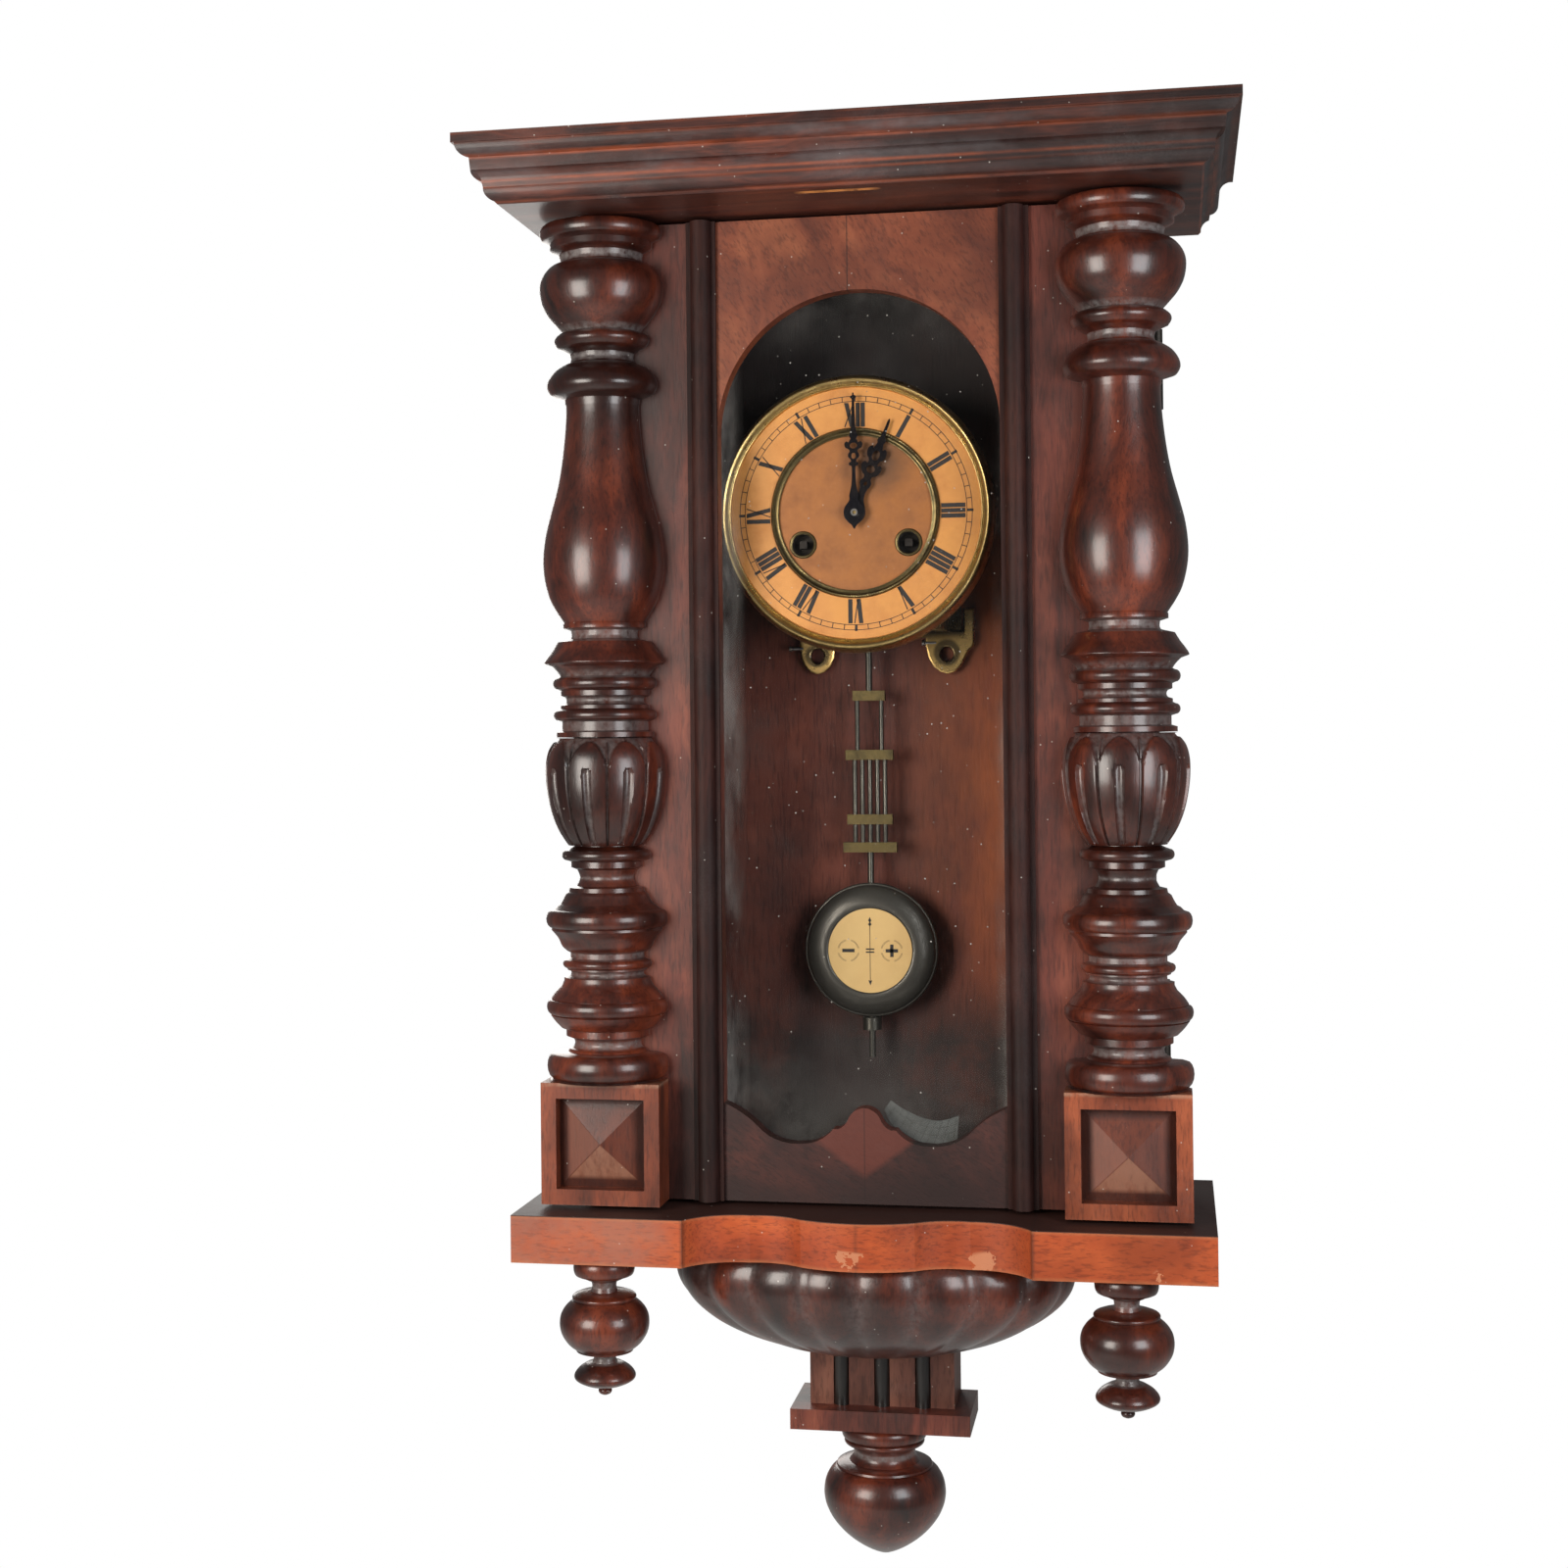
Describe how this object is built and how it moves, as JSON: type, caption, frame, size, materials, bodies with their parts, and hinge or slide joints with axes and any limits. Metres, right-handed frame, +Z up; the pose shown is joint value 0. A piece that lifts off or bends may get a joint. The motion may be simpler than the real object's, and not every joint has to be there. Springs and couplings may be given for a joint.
{
  "type": "regulator wall clock",
  "caption": "Wall clock with glazed door, turned half columns, moulded cornice, gadrooned base, two-train movement and gridiron-style pendulum",
  "frame": {"origin": "centre of the hanging hole, on the wall plane at the back of the case", "axes": "+X to the right seen from the front, +Y back into the wall, +Z up"},
  "size_m": [0.456, 0.2015, 0.8784],
  "materials": {
    "mahogany": "dark red-brown stained wood under worn gloss varnish",
    "walnut": "figured walnut veneer under gloss varnish",
    "shelf_veneer": "bright orange-brown veneer under gloss varnish, chipped at the edges",
    "oak": "dark stained backboard",
    "ebonised": "black stained wood, satin",
    "glass": "clear old window glass",
    "brass": "aged brass",
    "copper_brass": "warm coppery brass, brushed",
    "blued_steel": "heat-blued steel, semi-gloss",
    "steel": "plain steel",
    "iron": "dark iron",
    "dial_cream": "aged cream celluloid"
  },
  "bodies": {
    "case": {"backboard": "oak", "side_panel_left": "mahogany", "side_panel_right": "mahogany", "top_board": "mahogany", "cornice_front": "mahogany", "cornice_returns": "mahogany", "base_shelf": "shelf_veneer", "gadrooned_bowl": "mahogany", "fluted_block": "shelf_veneer", "block_reeds": "ebonised", "drop_board": "mahogany", "bottom_finial": "mahogany", "side_finials": "mahogany", "hanger_plate": "iron", "hinge_case_leaves": "brass", "movement_bracket": "brass", "gong_block": "iron", "gong_coil": "blued_steel", "suspension_cock": "brass", "movement_front_plate": "brass", "movement_back_plate": "brass", "plate_pillars": "brass", "dial_plate": "brass", "chapter_ring": "dial_cream", "dial_bezels": "brass", "centre_disc": "copper_brass"},
    "door": {"stile_left": "mahogany", "stile_right": "mahogany", "rail_top": "walnut", "rail_bottom": "walnut", "door_glass": "glass", "door_beads": "ebonised", "column_left": "mahogany", "column_right": "mahogany", "plinth_blocks": "shelf_veneer", "hinge_door_leaves": "brass"},
    "hook": {"door_hook": "brass"},
    "pendulum": {"suspension_spring": "steel", "pendulum_rods": "steel", "pendulum_bars": "brass", "pendulum_bob": "brass", "bob_disc": "dial_cream", "rating_nut": "brass"},
    "anchor": {"anchor_and_crutch": "steel"},
    "centre_arbor": {"centre_wheel": "brass"},
    "third_arbor": {"third_wheel": "brass"},
    "escape_arbor": {"escape_wheel": "brass"},
    "going_drum": {"going_barrel": "brass"},
    "going_winder": {"going_arbor": "steel"},
    "strike_drum": {"strike_barrel": "brass"},
    "strike_winder": {"strike_arbor": "steel"},
    "pin_arbor": {"pin_wheel": "brass"},
    "warning_arbor": {"warning_wheel": "brass"},
    "fly_arbor": {"fly": "brass"},
    "strike_hammer": {"hammer": "steel"},
    "minute_work": {"cannon_pinion": "steel", "minute_hand": "blued_steel"},
    "minute_arbor": {"minute_wheel": "brass"},
    "hour_work": {"hour_wheel": "brass", "hour_hand": "blued_steel"}
  },
  "joints": [
    {"name": "door_swing", "type": "hinge", "parent": "case", "child": "door", "pos_m": [0.1798, -0.09525, -0.3], "axis": [0, 0, 1], "range_deg": [0, 110]},
    {"name": "door_hook_turn", "type": "hinge", "parent": "case", "child": "hook", "pos_m": [-0.17675, -0.066, -0.272], "axis": [-1, 0, 0], "range_deg": [0, 270]},
    {"name": "pendulum_swing", "type": "hinge", "parent": "case", "child": "pendulum", "pos_m": [-0.006, -0.027, -0.092], "axis": [0, 1, 0], "range_deg": [-3, 3]},
    {"name": "anchor_rock", "type": "hinge", "parent": "case", "child": "anchor", "pos_m": [-0.006, -0.05, -0.092], "axis": [0, 1, 0], "range_deg": [-3, 3]},
    {"name": "minute_hand_turn", "type": "hinge", "parent": "case", "child": "minute_work", "pos_m": [-0.006, -0.05, -0.148], "axis": [0, 1, 0], "continuous": true},
    {"name": "hour_hand_turn", "type": "hinge", "parent": "case", "child": "hour_work", "pos_m": [-0.006, -0.05, -0.148], "axis": [0, 1, 0], "continuous": true},
    {"name": "minute_wheel_turn", "type": "hinge", "parent": "case", "child": "minute_arbor", "pos_m": [-0.006, -0.05, -0.1636], "axis": [0, 1, 0], "continuous": true},
    {"name": "centre_wheel_turn", "type": "hinge", "parent": "case", "child": "centre_arbor", "pos_m": [-0.006, -0.05, -0.148], "axis": [0, 1, 0], "continuous": true},
    {"name": "third_wheel_turn", "type": "hinge", "parent": "case", "child": "third_arbor", "pos_m": [0.01293, -0.05, -0.1273], "axis": [0, 1, 0], "continuous": true},
    {"name": "escape_wheel_turn", "type": "hinge", "parent": "case", "child": "escape_arbor", "pos_m": [-0.006, -0.05, -0.116], "axis": [0, 1, 0], "continuous": true},
    {"name": "going_barrel_turn", "type": "hinge", "parent": "case", "child": "going_drum", "pos_m": [0.027, -0.05, -0.167], "axis": [0, 1, 0], "continuous": true},
    {"name": "going_arbor_wind", "type": "hinge", "parent": "case", "child": "going_winder", "pos_m": [0.027, -0.05, -0.167], "axis": [0, 1, 0], "continuous": true},
    {"name": "pin_wheel_turn", "type": "hinge", "parent": "case", "child": "pin_arbor", "pos_m": [-0.039, -0.05, -0.12892], "axis": [0, 1, 0], "continuous": true},
    {"name": "strike_barrel_turn", "type": "hinge", "parent": "case", "child": "strike_drum", "pos_m": [-0.039, -0.05, -0.167], "axis": [0, 1, 0], "continuous": true},
    {"name": "warning_wheel_turn", "type": "hinge", "parent": "case", "child": "warning_arbor", "pos_m": [-0.04473, -0.05, -0.11319], "axis": [0, 1, 0], "continuous": true},
    {"name": "fly_spin", "type": "hinge", "parent": "case", "child": "fly_arbor", "pos_m": [-0.03119, -0.05, -0.10827], "axis": [0, 1, 0], "continuous": true},
    {"name": "strike_arbor_wind", "type": "hinge", "parent": "case", "child": "strike_winder", "pos_m": [-0.039, -0.05, -0.167], "axis": [0, 1, 0], "continuous": true},
    {"name": "hammer_lift", "type": "hinge", "parent": "case", "child": "strike_hammer", "pos_m": [-0.058, -0.05, -0.136], "axis": [0, 1, 0], "range_deg": [0, 15], "stiffness_Nm_per_rad": 0.002, "springref_deg": -20.05}
  ],
  "couplings": [
    {"joint": "anchor_rock", "follows": "pendulum_swing", "ratio": 1},
    {"joint": "hour_hand_turn", "follows": "minute_hand_turn", "ratio": 0.083333},
    {"joint": "minute_wheel_turn", "follows": "minute_hand_turn", "ratio": -0.33333},
    {"joint": "centre_wheel_turn", "follows": "minute_hand_turn", "ratio": 1},
    {"joint": "third_wheel_turn", "follows": "minute_hand_turn", "ratio": -10},
    {"joint": "escape_wheel_turn", "follows": "minute_hand_turn", "ratio": 86.667},
    {"joint": "going_barrel_turn", "follows": "minute_hand_turn", "ratio": -0.125},
    {"joint": "strike_barrel_turn", "follows": "pin_wheel_turn", "ratio": -0.125},
    {"joint": "warning_wheel_turn", "follows": "pin_wheel_turn", "ratio": -8},
    {"joint": "fly_spin", "follows": "pin_wheel_turn", "ratio": 56}
  ]
}
